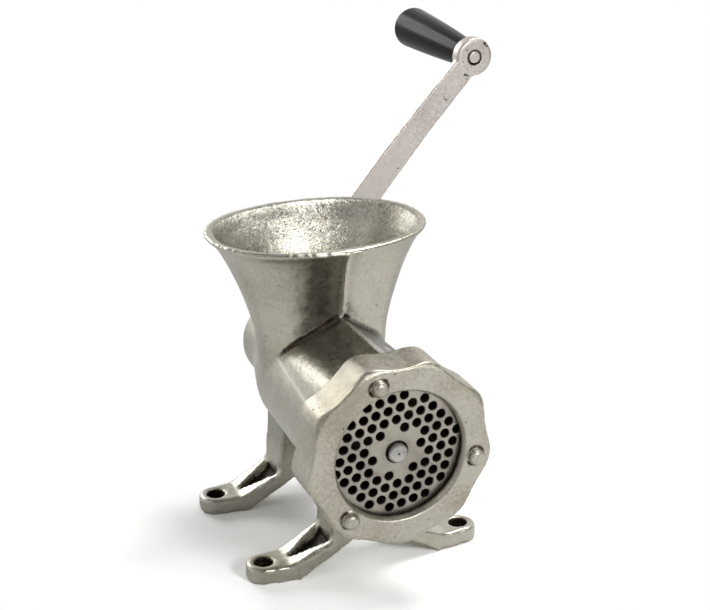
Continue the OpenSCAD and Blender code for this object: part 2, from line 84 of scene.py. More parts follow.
GRID_SIDE = 19  # holes along a side of the grid that the plate's rows are taken from
NO_HOLE_WITHIN, LAST_HOLE_AT, ROW_END_AT = 1.9, 4.9, 5.05  # from the middle, in hole pitches
NOTCH_R, NOTCH_CIRCLE_R, NOTCH_AT = 0.00235, 0.040, math.radians(21)
BARE_SPOTS = (  # x and z from the grip's axis in mm, and size, where the crank's tin is gone
    (6.8, 8.3, 1.5), (8.2, 6.4, 1.0), (-6.5, -10.6, 1.3), (-4.6, -11.2, 1.1), (-5.2, -13.4, 0.9),
    (-19.2, -25.4, 1.0), (-20.4, -24.2, 0.7), (-5.6, 5.4, 0.9), (-8.0, -2.0, 0.7),
    (-52.0, -66.0, 0.8))

BENCH_LEVEL, BENCH_BACK, BENCH_REACH = -0.0002, 0.078, 3.0
LAMP_AIM = (0.0, 0.0, 0.13)
LAMPS = (  # name, place, width, the setting that gives its power, and its share of that power
    ("key_lamp", (0.27, -0.92, 0.56), 0.28, "key", 1.2),
    ("top_lamp", (0.50, 0.12, 1.12), 0.60, "key", 2),
    ("fill_lamp", (-0.85, -0.35, 0.95), 0.70, "fill", 0.5),
    ("back_lamp", (-0.32, 0.92, 0.60), 0.60, "fill", 1.6))
CAMERA_AT = (-0.3271805, -0.8609127, 0.5015437)
CAMERA_RIGHT = Vector((0.92840087, -0.37147736, -0.00874019))
CAMERA_UP = Vector((0.14284168, 0.33507995, 0.93129892))
CAMERA_WAY = Vector((0.3430278, 0.8658672, -0.36415097))


# ---------------------------------------------------------------- settings

def length(name, description, default, **limits):
    return FloatProperty(
        name=name, description=description, default=default, unit="LENGTH", precision=5, **limits)


def colour(name, description, default):
    return FloatVectorProperty(
        name=name, description=description, default=default, size=3, min=0, max=1, subtype="COLOR")


class GrinderSizes(bpy.types.PropertyGroup):
    """Sizes that the dressed pieces are made to"""

    voxel: length("Casting detail", "Grid size that the body casting is rebuilt on",
                  0.0014, min=0.0011, max=0.003)
    fillet: IntProperty(
        name="Fillet passes", description="Smoothing passes that round the casting's inner corners",
        default=8, min=0, max=40)
    thread_pitch: length("Thread pitch", "Advance of the ring nut for one turn", 0.004)
    thread_turns: FloatProperty(
        name="Thread turns", description="Turns of thread on the mouth of the barrel", default=3.8)
    hole_pitch: length("Hole pitch", "Distance between neighbouring holes of the plate", 0.00725)
    hole_radius: length("Hole radius", "Radius of the holes of the plate", 0.00265)
    hole_turn: FloatProperty(
        name="Hole turn", description="Turn of the rows of holes",
        default=math.radians(11.5), subtype="ANGLE")
    edge_break: length("Edge break", "Width of the broken edge round each hole", 0.0003)


class GrinderFinishes(bpy.types.PropertyGroup):
    """Colours of the grinder's finishes"""

    # brightened, this colour also paints highlights on the casting
    tin: colour("Tin", "Bright tin on the casting", (0.545, 0.525, 0.455))
    # darkened, this colour also paints shade on the casting
    tin_dull_and_shade: colour("Dull tin", "Tin that has gone grey-green", (0.43, 0.415, 0.335))
    ring_tin: colour("Ring tin", "Tin on the ring nut", (0.53, 0.505, 0.435))
    crank_tin: colour("Crank tin", "Tin on the crank", (0.63, 0.58, 0.54))
    plate_steel: colour("Plate steel", "Ground face of the plate", (0.41, 0.385, 0.325))
    # this brown also paints shade in creases, recesses and holes
    stain_and_shade: colour("Stain", "Brown stain in the recesses", (0.075, 0.05, 0.03))
    # the pit colour also paints shade in the corners of turned steel
    pit_and_shade: colour("Pit", "Dark spots where the tin is gone", (0.035, 0.03, 0.025))
    lacquer: colour("Lacquer", "Black lacquer of the grip", (0.0055, 0.0060, 0.0055))
    fibre: colour("Fibre", "Hard fibre washer", (0.28, 0.14, 0.06))


class GrinderStage(bpy.types.PropertyGroup):
    """Camera and light"""

    lens: FloatProperty(
        name="Focal length", description="Focal length of the camera",
        default=86.77, unit="CAMERA")
    key: FloatProperty(
        name="Key light", description="Power shared by the key and top lamps", default=4.0)
    fill: FloatProperty(
        name="Fill light", description="Power shared by the fill and back lamps", default=2.2)
    sky: FloatProperty(name="Sky", description="Strength of the light from all round", default=0.20)


# ---------------------------------------------------------------- mesh helpers

def add_object(name, mesh):
    piece = bpy.data.objects.new(name, mesh)
    bpy.context.scene.collection.objects.link(piece)
    return piece


def plain_mesh(piece):
    """Replaces the piece's live modifiers by the mesh that they make."""
    bpy.context.view_layer.update()
    made = bpy.data.meshes.new_from_object(
        piece.evaluated_get(bpy.context.evaluated_depsgraph_get()))
    piece.modifiers.clear()
    piece.data = made
    return piece


def recast(node, name, voxel):
    """Copy of a CAD node, joined and rebuilt on an even grid so that it can be smoothed."""
    mesh = frame["nodes"][node].data.copy()
    mesh.name = name
    mesh.transform(frame["nodes"][node].matrix_world)
    bm = bmesh.new()
    bm.from_mesh(mesh)
    bmesh.ops.remove_doubles(bm, verts=bm.verts, dist=WELD)
    bm.to_mesh(mesh)
    bm.free()
    mesh.materials.clear()
    piece = add_object(name, mesh)
    grid = piece.modifiers.new("grid", "REMESH")
    grid.mode = "VOXEL"
    grid.voxel_size = voxel
    return plain_mesh(piece)


def read(items, name):
    values = np.empty(len(items) * 3)
    items.foreach_get(name, values)
    return values.reshape(-1, 3)


def read_points(mesh):
    return read(mesh.vertices, "co")


def read_normals(mesh):
    return read(mesh.vertex_normals, "vector")


def write_points(mesh, points):
    mesh.vertices.foreach_set("co", points.ravel())
    mesh.update()


def neighbours(mesh):
    """Function that gives the mean of each point's neighbours, for one column of values."""
    ends = np.empty(len(mesh.edges) * 2, dtype=np.int64)
    mesh.edges.foreach_get("vertices", ends)
    one, two = ends.reshape(-1, 2).T
    total = len(mesh.vertices)
    degree = np.maximum(np.bincount(ends, minlength=total), 1)

    def mean(values):
        sums = np.bincount(one, values[two], total) + np.bincount(two, values[one], total)
        return sums / degree
    return mean


def relax(mesh, passes, weight):
    """Rounds edges and corners without shrinking: each step in is followed by a step out."""
    points, mean = read_points(mesh), neighbours(mesh)
    for _ in range(passes):
        for share in (weight, -STEP_OUT * weight):
            for k in range(3):
                points[:, k] += share * (mean(points[:, k]) - points[:, k])
    write_points(mesh, points)


def hollows(mesh, spread):
    """How far each point lies below the mean of those around it, in metres."""
    points, normals, mean = read_points(mesh), read_normals(mesh), neighbours(mesh)
    wide = points.copy()
    for _ in range(spread):
        for k in range(3):
            wide[:, k] = mean(wide[:, k])
    return ((wide - points) * normals).sum(axis=1)


def paint(mesh, name, values):
    """Keeps a value for each point, which the material reads by its name."""
    layer = mesh.attributes.new(name, "FLOAT", "POINT")
    layer.data.foreach_set("value", np.clip(values, 0, 1).astype(np.float32))


def sand_cast(mesh, lumps):
    """Pushes the skin in and out by (size, depth, offset) lumps of smooth noise."""
    points, normals = read_points(mesh), read_normals(mesh)
    push = np.zeros(len(points))
    for size, depth, offset in lumps:
        shift = Vector((offset, offset * 1.7, -offset))
        push += depth * np.array(
            [noise.noise(Vector(p) / size + shift) for p in points.tolist()])
    write_points(mesh, points + normals * push[:, None])


def smooth_shade(mesh):
    mesh.polygons.foreach_set("use_smooth", np.ones(len(mesh.polygons), dtype=bool))
    mesh.update()


def radius_about(points, x, z):
    """Distance of each point from an axis along Y through x and z."""
    return np.hypot(points[:, 0] - x, points[:, 2] - z)


def step(values, low, high):
    """0 below low, 1 above high, and a smooth rise between."""
    t = np.clip((values - low) / (high - low), 0, 1)
    return t * t * (3 - 2 * t)


def fall(values, low, high):
    """1 below low, 0 above high, and a smooth fall between."""
    return step(-values, -high, -low)


def window(values, out_low, in_low, in_high, out_high):
    """1 from in_low to in_high, and a smooth fall to 0 at either outer limit."""
    return step(values, out_low, in_low) * fall(values, in_high, out_high)


def stripe(values, centre, width):
    """1 at the centre, and a soft fall to nothing over about twice the width."""
    return np.exp(-((values - centre) / width) ** 2)


def most(*values):
    """The greatest of the values at each point."""
    return np.maximum.reduce(values)


def lathe(name, profile, x, z, steps):
    """Closed shape of (radius, y) points turned about an axis along Y through x and z."""
    bm = bmesh.new()
    rings = []
    for radius, y in profile:
        if radius == 0:
            rings.append([bm.verts.new((x, y, z))])
            continue
        turns = [2 * math.pi * k / steps for k in range(steps)]
        rings.append([bm.verts.new((x + radius * math.cos(t), y, z + radius * math.sin(t)))
                      for t in turns])
    pairs = list(zip(rings, rings[1:]))
    if profile[0][0] and profile[-1][0]:
        pairs.append((rings[-1], rings[0]))
    for one, two in pairs:
        for k in range(steps):
            a, b = one[k % len(one)], one[(k + 1) % len(one)]
            c, d = two[(k + 1) % len(two)], two[k % len(two)]
            corners = [v for i, v in enumerate((a, b, c, d)) if v not in (a, b, c, d)[:i]]
            if len(corners) > 2:
                bm.faces.new(corners)
    bmesh.ops.recalc_face_normals(bm, faces=bm.faces)
    mesh = bpy.data.meshes.new(name)
    bm.to_mesh(mesh)
    bm.free()
    smooth_shade(mesh)
    return add_object(name, mesh)


def arc(cx, cy, radius, start, end, steps=6):
    """Points on an arc from start to end, in degrees."""
    angles = [math.radians(start + (end - start) * k / steps) for k in range(steps + 1)]
    return [(cx + radius * math.cos(a), cy + radius * math.sin(a)) for a in angles]


def crease(piece, degrees=32):
    """Keeps edges sharper than the angle crisp and shades the rest smooth."""
    bpy.ops.object.select_all(action="DESELECT")
    piece.select_set(True)
    bpy.context.view_layer.objects.active = piece
    bpy.ops.object.shade_smooth_by_angle(angle=math.radians(degrees))


def dress(piece, body, slot, material, *nodes):
    """Gives a finished piece its material and body and hides the CAD nodes it stands for.
    Its slot argument is not used.
    """
    piece.data.materials.clear()
    piece.data.materials.append(material)
    faces = piece.data.polygons
    faces.foreach_set("material_index", np.zeros(len(faces), dtype=np.int32))
    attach(piece, body)
    if nodes:
        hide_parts(*nodes)


def paint_node(node, material):
    """Gives a CAD node that stays in view its material."""
    piece = frame["nodes"][node]
    if not piece.material_slots:
        piece.data.materials.append(None)
    for place in piece.material_slots:
        place.material = material


# ---------------------------------------------------------------- node helpers

class Tree:
    """Small helper round one node tree."""

    def __init__(self, tree):
        self.tree = tree

    def feed(self, socket, value):
        """Links the socket to another, or sets its number, vector, colour or material."""
        if isinstance(value, bpy.types.NodeSocket):
            self.tree.links.new(value, socket)
        elif socket.type == "RGBA":
            socket.default_value = (*value, 1.0)[:4]
        else:
            socket.default_value = value

    def node(self, kind, inputs=None, **settings):
        """New node with its settings, and its inputs fed by name or number."""
        made = self.tree.nodes.new(kind)
        for key, value in settings.items():
            setattr(made, key, value)
        for key, value in (inputs or {}).items():
            self.feed(made.inputs[key], value)
        return made

    def maths(self, operation, one, two=0.0, clamp=False):
        return self.node("ShaderNodeMath", {0: one, 1: two},
                         operation=operation, use_clamp=clamp).outputs[0]

    def times(self, one, two, clamp=False):
        return self.maths("MULTIPLY", one, two, clamp)

    def parts(self, vector):
        """The three numbers of a vector."""
        return self.node("ShaderNodeSeparateXYZ", {0: vector}).outputs

    def band(self, value, low, high, out_low=0.0, out_high=1.0):
        """Smooth rise from out_low to out_high as value goes from low to high."""
        return self.node("ShaderNodeMapRange", {
            "Value": value, "From Min": low, "From Max": high, "To Min": out_low,
            "To Max": out_high}, interpolation_type="SMOOTHSTEP").outputs["Result"]

    def blend(self, factor, one, two):
        """One surface or background shader, and the other where the factor is 1."""
        return self.node("ShaderNodeMixShader", {0: factor, 1: one, 2: two}).outputs[0]


# ---------------------------------------------------------------- materials

class Shader(Tree):
    """One material's node tree, with patterns on Object coordinates."""

    def __init__(self, name):
        self.material = bpy.data.materials.new(name)
        self.material.use_nodes = True
        super().__init__(self.material.node_tree)
        self.tree.nodes.clear()
        self.surface = self.node("ShaderNodeBsdfPrincipled")
        self.output = self.node("ShaderNodeOutputMaterial", {
            "Surface": self.surface.outputs["BSDF"]})
        self.place = self.node("ShaderNodeTexCoord").outputs["Object"]

    def mapped(self, offset, stretch=(1, 1, 1)):
        return self.node("ShaderNodeMapping", {
            "Vector": self.place, "Location": offset, "Scale": stretch}).outputs["Vector"]

    def noise(self, scale, detail, rough, stretch=(1, 1, 1), offset=(0, 0, 0)):
        """Noise between 0 and 1; scale is in lumps per metre."""
        return self.node("ShaderNodeTexNoise", {
            "Vector": self.mapped(offset, stretch), "Scale": scale, "Detail": detail,
            "Roughness": rough}).outputs["Fac"]

    def cells(self, scale, offset):
        return self.node("ShaderNodeTexVoronoi", {
            "Vector": self.mapped(offset), "Scale": scale}).outputs["Distance"]

    def mix(self, factor, one, two):
        return self.node("ShaderNodeMix", {"Factor": factor, "A": one, "B": two},
                         data_type="RGBA").outputs["Result"]

    def painted(self, name):
        return self.node("ShaderNodeAttribute", attribute_name=name).outputs["Fac"]

    def recess(self, distance, low, high):
        """1 in corners and hollows narrower than the distance, 0 on open skin."""
        made = self.node("ShaderNodeAmbientOcclusion", {"Distance": distance},
                         samples=8, only_local=True)
        return self.band(made.outputs["AO"], low, high, 1.0, 0.0)

    def bump(self, height, depth, normal=None):
        """Bump of the given depth in metres, on top of an earlier one."""
        made = self.node("ShaderNodeBump", {"Height": height, "Strength": 1.0, "Distance": depth})
        if normal is not None:
            self.feed(made.inputs["Normal"], normal)
        return made.outputs["Normal"]

    def finish(self, base, metallic, roughness, normal, specular=0.5):
        for name, value in (("Base Color", base), ("Metallic", metallic), ("Roughness", roughness),
                            ("Normal", normal), ("Specular IOR Level", specular)):
            self.feed(self.surface.inputs[name], value)
        return self.material


def tint(base, share):
    return [v * share for v in base]


def tinned_iron(name, bright, dull_and_shade, stain_and_shade, pit_and_shade, gloss=0.26, hammer=1.0, speckle=1.0):
    """Hot-dipped tin on cast iron: drifting tone, staining and painted shade in the recesses,
    dark pits, painted highlights and a sandy skin.

    The piece's grime attribute says where staining and painted shade lie, its smoke attribute
    where more shade is painted, its scour attribute where highlights are painted, and its
    rough attribute where the skin is lumpy.
    """
    s = Shader(name)
    lumpy = s.painted("rough")
    # clean tin, with a drifting tone and dark dust
    fine = s.noise(420, 5, 0.7, offset=(3.1, 0, 0))
    tone = s.maths("ADD", s.times(s.noise(24, 3, 0.5), 0.5), s.times(fine, 0.5))
    skin = s.mix(s.band(tone, 0.38, 0.60), dull_and_shade, bright)
    dust = s.band(s.noise(900, 3, 0.7, offset=(0, 2.2, 0)), 0.56, 0.72)
    skin = s.mix(s.times(dust, 0.35 * speckle), skin, tint(dull_and_shade, 0.45))
    # staining and painted shade, flecks, painted shade and highlights, each with a ragged edge
    ragged = s.noise(260, 5, 0.75, offset=(0, 5.7, 0))
    # staining, and painted shade in creases, recesses and holes
    soil_and_painted_light = s.times(s.painted("grime_and_shade"), s.band(ragged, 0.30, 0.62, 0.75, 1.25), clamp=True)
    deep = s.band(soil_and_painted_light, 0.15, 0.80)
    skin = s.mix(deep, skin, stain_and_shade)
    skin = s.mix(s.band(soil_and_painted_light, 0.75, 1.0), skin, tint(stain_and_shade, 0.12))
    flecks = s.band(s.noise(640, 4, 0.7, offset=(0, 6, 1)), 0.46, 0.62)
    skin = s.mix(s.times(s.times(flecks, lumpy), 0.45), skin, tint(dull_and_shade, 0.35))
    # painted shade, a darkened tin
    shade_mask = s.times(s.painted("painted_shade"), s.band(ragged, 0.30, 0.60, 0.8, 1.1), clamp=True)
    skin = s.mix(shade_mask, skin, tint(dull_and_shade, 0.22))
    # painted highlights, brighter than clean tin
    highlight_patches = s.times(s.painted("painted_highlight"), s.band(ragged, 0.28, 0.50, 0.5, 1.0))
    skin = s.mix(highlight_patches, skin, [min(1.0, v) for v in tint(bright, 1.62)])
    # pits, in patches
    patches = s.band(s.noise(55, 3, 0.6, offset=(0, 0, 8.2)), 0.55, 0.64)
    pits = s.times(s.band(s.cells(300, (1.3, 0, 0)), 0.06, 0.17, 1.0, 0.0), patches)
    pits = s.times(pits, speckle, clamp=True)
    skin = s.mix(s.times(pits, 0.9), skin, pit_and_shade)
    # staining and painted shade are rougher and less of a metal; lumps are worn a little smoother
    rough = s.band(fine, 0.3, 0.7, gloss, gloss + 0.12)
    rough = s.maths("ADD", rough, s.times(deep, 0.25), clamp=True)
    rough = s.maths("SUBTRACT", rough, s.times(lumpy, 0.06), clamp=True)
    metal = s.band(soil_and_painted_light, 0.6, 1.0, 1.0, 0.25)
    # sand grain, two sizes of hammered unevenness, lumps and pits
    dents = s.times(s.noise(430, 4, 0.7, stretch=(1, 1, 0.75), offset=(0, 9, 0)), lumpy)
    normal = None
    for height, depth in ((s.noise(1300, 2, 0.5), 0.00004),
                          (s.noise(130, 2, 0.5, offset=(0, 0, 3.3)), 0.00030 * hammer),
                          (s.noise(380, 3, 0.6, offset=(7, 0, 0)), 0.00012 * hammer),
                          (dents, 0.00060), (pits, -0.0003)):
        normal = s.bump(height, depth, normal)
    return s.finish(skin, metal, rough, normal, specular=0.15)


def turned_steel(name, base, stain_and_shade, pit_and_shade, tarnish=0.4):
    """Machined steel with fine tool marks, a little tarnish and painted shade in its corners."""
    s = Shader(name)
    marks = s.noise(900, 3, 0.6)
    cloud = s.noise(70, 5, 0.65, offset=(2, 0, 0))
    skin = s.mix(s.band(cloud, 0.38, 0.68), base, tint(base, 0.72))
    stained = s.times(s.band(s.noise(130, 4, 0.7, offset=(0, 4, 0)), 0.55, 0.72), tarnish)
    skin = s.mix(stained, skin, stain_and_shade)
    # painted shade: the pit colour in corners and hollows
    skin = s.mix(s.times(s.recess(0.006, 0.3, 0.8), 0.8), skin, pit_and_shade)
    rough = s.band(marks, 0.3, 0.7, 0.28, 0.44)
    return s.finish(skin, 0.95, rough, s.bump(marks, 0.00004))


def black_lacquer(name, base):
    """Black lacquer, a little dull, with long soft scuffs along the grip."""
    s = Shader(name)
    scuff = s.noise(300, 4, 0.6, stretch=(1.0, 0.07, 1.0))
    dust = s.noise(1500, 3, 0.6, offset=(4, 0, 0))
    skin = s.mix(s.times(s.band(scuff, 0.54, 0.72), 0.35), base, [c * 4 + 0.012 for c in base])
    skin = s.mix(s.times(s.band(dust, 0.66, 0.76), 0.4), skin, (0.12, 0.115, 0.10))
    rough = s.maths("ADD", s.band(scuff, 0.35, 0.75, 0.21, 0.36),
                    s.band(dust, 0.6, 0.8, 0.0, 0.12), clamp=True)
    return s.finish(skin, 0.0, rough, s.bump(scuff, 0.00006), specular=0.095)


def pressed_fibre(name, base):
    """Hard red-brown fibre sheet."""
    s = Shader(name)
    strands = s.noise(900, 4, 0.7, stretch=(1, 3, 1))
    skin = s.mix(s.band(strands, 0.35, 0.7), tint(base, 0.6), base)
    return s.finish(skin, 0.0, s.band(strands, 0.3, 0.7, 0.55, 0.8), s.bump(strands, 0.00008))


MATERIALS = {}


def finishes():
    """The materials, made once from the colours in the settings."""
    if MATERIALS:
        return MATERIALS
    c = bpy.context.scene.grinder_finishes
    marks = (c.stain_and_shade, c.pit_and_shade)
    ring_dull = [v * share for v, share in zip(c.ring_tin, (0.68, 0.65, 0.58))]
    MATERIALS.update(
        cast=tinned_iron("tinned_casting", c.tin, c.tin_dull_and_shade, *marks),
        ring=tinned_iron("tinned_ring", c.ring_tin, ring_dull, *marks,
                         gloss=0.36, hammer=0.8, speckle=2.0),
        crank=tinned_iron("tinned_crank", c.crank_tin, tint(c.crank_tin, 0.84), *marks,
                          gloss=0.42, hammer=0.2, speckle=0.9),
        worm=tinned_iron("tinned_worm", c.tin, c.tin_dull_and_shade, *marks),
        plate=turned_steel("ground_plate", c.plate_steel, *marks, tarnish=0.3),
        steel=turned_steel("turned_steel", (0.50, 0.49, 0.46), *marks),
        lacquer=black_lacquer("black_lacquer", c.lacquer),
        fibre=pressed_fibre("pressed_fibre", c.fibre))
    return MATERIALS


# ---------------------------------------------------------------- geometry nodes

class Recipe(Tree):
    """One Geometry Nodes tree with named numbers as its inputs."""

    def __init__(self, name, numbers):
        super().__init__(bpy.data.node_groups.new(name, "GeometryNodeTree"))
        face = self.tree.interface
        face.new_socket("Geometry", in_out="OUTPUT", socket_type="NodeSocketGeometry")
        self.numbers = {}
        for label, number in numbers.items():
            made = face.new_socket(label, in_out="INPUT", socket_type="NodeSocketFloat")
            made.default_value = number
            self.numbers[made.identifier] = number
        self.given = self.node("NodeGroupInput").outputs

    def position(self):
        return self.node("GeometryNodeInputPosition").outputs[0]

    def vector(self, *values):
        """Vector from three numbers or sockets."""
        return self.node("ShaderNodeCombineXYZ", dict(enumerate(values))).outputs[0]

    def shift(self, geometry, place):
        """The geometry with each point at its new place."""
        return self.node("GeometryNodeSetPosition", {
            "Geometry": geometry, "Position": place}).outputs["Geometry"]

    def move(self, geometry, offset, turn=(0, 0, 0)):
        return self.node("GeometryNodeTransform", {
            "Geometry": geometry, "Translation": offset, "Rotation": turn}).outputs["Geometry"]

    def cylinder(self, radius, depth, around, along=1):
        return self.node("GeometryNodeMeshCylinder", {
            "Vertices": around, "Side Segments": along, "Radius": radius,
            "Depth": depth}).outputs["Mesh"]

    def build(self, geometry, name, material):
        """Ends the tree, runs it on an empty mesh and returns the plain mesh object."""
        real = self.node("GeometryNodeRealizeInstances", {"Geometry": geometry})
        coat = self.node("GeometryNodeSetMaterial", {
            "Geometry": real.outputs["Geometry"], "Material": material})
        self.node("NodeGroupOutput", {"Geometry": coat.outputs["Geometry"]})
        piece = add_object(name, bpy.data.meshes.new(name))
        modifier = piece.modifiers.new("recipe", "NODES")
        modifier.node_group = self.tree
        for identifier, number in self.numbers.items():
            modifier[identifier] = number
        return plain_mesh(piece)


# ---------------------------------------------------------------- the pieces

class GRINDER_OT_body(bpy.types.Operator):
    """Cast the body: barrel, hopper and four legs, with round inner corners and a sandy skin"""

    bl_idname = "grinder.body"
    bl_label = "Body casting"

    def execute(self, context):
        sizes = context.scene.grinder_sizes
        piece = recast("body_casting", "body_cast", sizes.voxel)
        mesh = piece.data
        self.thicken_ribs(mesh)
        relax(mesh, sizes.fillet, 0.5)
        self.turn_mouth(mesh)
        sand_cast(mesh, [(0.018, 0.00025, 3.0), (0.007, 0.00010, 9.0)])
        points, normals = read_points(mesh), read_normals(mesh)
        points += self.parting_ridge(points, normals)
        points += self.bead(points, normals)
        points[:, 2] = np.maximum(points[:, 2], 0.0)
        write_points(mesh, points)
        relax(mesh, 14, 0.5 * step(points[:, 2], RIM_Z - 0.009, RIM_Z - 0.006))
        smooth_shade(mesh)
        self.soil_and_painted_light(mesh)
        dress(piece, "casting", "tinned_iron", finishes()["cast"], "body_casting")
        return {"FINISHED"}

    def thicken_ribs(self, mesh):
        """Narrows the pocket in each leg, which leaves wider ribs along its sides."""
        points, normals = read_points(mesh), read_normals(mesh)
        leg = window(points[:, 2], 0.0115, 0.0150, 0.046, 0.056)
        pocket = leg * step(hollows(mesh, WIDE), 0.0002, 0.0012)
        write_points(mesh, points + normals * (RIB_GROWTH * pocket)[:, None])
        relax(mesh, 24, 0.5 * leg)

    def turn_mouth(self, mesh):
        """Takes a cut off the barrel's mouth, which leaves room for the thread."""
        points = read_points(mesh)
        radius = radius_about(points, 0, AXIS_Z)
        mouth = fall(points[:, 1], -0.0782, -0.0772) * step(radius, 0.043, 0.044)
        shrink = 1 - mouth * MOUTH_CUT / np.maximum(radius, 0.01)
        points[:, 0] *= shrink
        points[:, 2] = AXIS_Z + (points[:, 2] - AXIS_Z) * shrink
        write_points(mesh, points)

    def parting_ridge(self, points, normals):
        """Moves that raise the line of the mould's joint down the front of the hopper."""
        x, y, z = points.T
        ridge = stripe(x, 0, 0.0014) * step(-normals[:, 1], 0.5, 0.8)
        ridge *= fall(y, 0.0, 0.006) * step(z, AXIS_Z + 0.046, AXIS_Z + 0.052)
        return normals * (RIDGE_HEIGHT * ridge)[:, None]

    def bead(self, points, normals):
        """Moves that thicken the hopper's rim outwards into a round bead."""
        out = points * (1, 1, 0) - (0, HOPPER_Y, 0)
        out /= np.maximum(np.hypot(out[:, 0], out[:, 1]), 0.001)[:, None]
        side = step((out * normals).sum(axis=1), -0.2, 0.4)
        high = stripe(points[:, 2], RIM_Z - 0.0026, 0.0024)
        return out * (side * high * BEAD_HEIGHT)[:, None]

    def soil_and_painted_light(self, mesh):
        """Staining and painted shade in the corners, leg pockets, foot holes, throat and bore; painted
        shade and painted highlights on the hopper and barrel; lumps inside the hopper.

        Lengths here are in millimetres and angles in degrees.
        """
        points, normals = read_points(mesh), read_normals(mesh)
        x, y, z = points.T * 1000
        nx, ny, nz = normals.T
        near, wide = (hollows(mesh, spread) * 1000 for spread in (CLOSE, WIDE))
        up, below = z - AXIS_Z * 1000, RIM_Z * 1000 - z
        radius = np.hypot(x, up)
        facing = (x * nx + up * nz) / np.maximum(radius, 4)
        back = y - HOPPER_Y * 1000
        reach = np.hypot(x, back)

        # staining and painted shade in pockets and corners; painted shade in foot holes and bore
        legs = fall(z, 45, 60)
        pockets = legs * step(wide, 0.3, 1.6)
        corners = step(near, 0.24, 0.56) * (0.85 + 0.15 * legs)
        corners *= 1 - 0.7 * (1 - legs) * step(y, 10, 30)
        corners *= 1 - (1 - legs) * (0.45 * step(x, 4, 7) + step(-x, 29, 35))
        foot_x, foot_y = (FOOT_BOLTS[f"spacing_{way}_mm"] / 2 for way in "xy")
        holes = np.hypot(np.abs(x) - foot_x, np.abs(y) - foot_y)
        holes = fall(holes, 5.2, 6.4) * fall(z, 8.5, 10.5)
        bore = fall(radius, 35.5, 37) * fall(y, 44, 50) * step(-facing, 0.0, 0.4)

        # inside the hopper, by the angle round it from the casting's right
        cup = step(-(x * nx + back * ny) / np.maximum(reach, 4), -0.1, 0.1)
        cup *= step(up, 26, 34) * step(below, 0.2, 1.4)
        # painted shade down the throat
        throat = cup * fall(up, 34, 60)
        turn = np.degrees(np.arctan2(back, x))
        lip, high = fall(below, 5, 10), fall(below, 12, 22)
        # painted highlights inside the hopper
        highlight_patches = most(0.70 * window(turn, 72, 84, 102, 118) * (1 - lip),
                      0.26 * window(turn, 22, 38, 76, 90),
                      0.70 * high * window(turn, 52, 62, 82, 94))
        # painted shade inside the hopper and under its rim
        dull_and_shade = most(0.06 * window(turn, 24, 40, 54, 66),
                    0.36 * fall(turn, 20, 34) + 0.10 * step(turn, 120, 136),
                    0.42 * lip * step(turn, 86, 104))

        # outside: the front of the hopper, the roof of the barrel and both its sides
        outside = (1 - step(cup, 0.0, 0.2)) * step(up, 20, 26)
        # painted shade on the barrel's roof in front of the hopper
        roof = outside * window(y, -79, -72, -2, 2) * window(x, -29, -22, 14, 36)
        roof *= fall(up, 48, 54) * step(nz, 0.2, 0.5)
        # a painted dark reflection down the front of the hopper, beside its ridge
        wavy = x + 1.2 * np.sin(0.7 * z) + 0.7 * np.sin(1.9 * z + 1)
        dark_reflection_stripe = step(wavy, -22.5, -17.5) * fall(x, -2.0, -0.5)
        dark_reflection_stripe = most(dark_reflection_stripe * (1 - 0.55 * step(wavy, -9.5, -6.0)), stripe(x, -2.6, 0.9))
        dark_reflection_stripe *= outside * fall(y, 0, 6) * step(-ny, 0.3, 0.5)
        dark_reflection_stripe *= fall(up, 88, 91) * step(up, 46, 52)
        # painted shade on the roof right of the hopper's ridge
        right_side = outside * window(x, 1.0, 3.5, 24, 36) * step(nz, 0.3, 0.6)
        right_side *= fall(y, 15, 35) * fall(up, 48, 52)
        round_at = np.degrees(np.arctan2(-x, up))
        shoulder = step(facing, 0.5, 0.8)
        # painted shade on the barrel's left shoulder
        left_side = shoulder * fall(y, 0, 12) * window(round_at, 24, 34, 53, 62)
        left_side *= (1 - 0.35 * stripe(round_at, 41, 2.2)) * fall(up, 46, 52)
        # a painted highlight along a joint line on the barrel's left
        joint_line = shoulder * stripe(round_at + 0.1 * y, 57.9, 1.1) * fall(y, -4, 8)
        # painted shade on the pedestals under the barrel
        pedestals = window(z, 28, 42, 54, 66) * fall(np.abs(x), 28, 36)

        # painted shade
        paint(mesh, "painted_shade", most(0.6 * roof, 0.6 * dark_reflection_stripe, 0.34 * pedestals, cup * dull_and_shade,
                                  0.92 * right_side, 0.34 * left_side))
        # painted highlights
        paint(mesh, "painted_highlight", most(cup * highlight_patches, 0.6 * joint_line * fall(up, 30, 40)))
        # staining and painted shade in hollows, pockets, holes, throat and bore
        paint(mesh, "grime_and_shade", most(corners, pockets, holes, 0.6 * throat, 0.8 * bore))
        paint(mesh, "rough", cup + 0.25 * pockets)


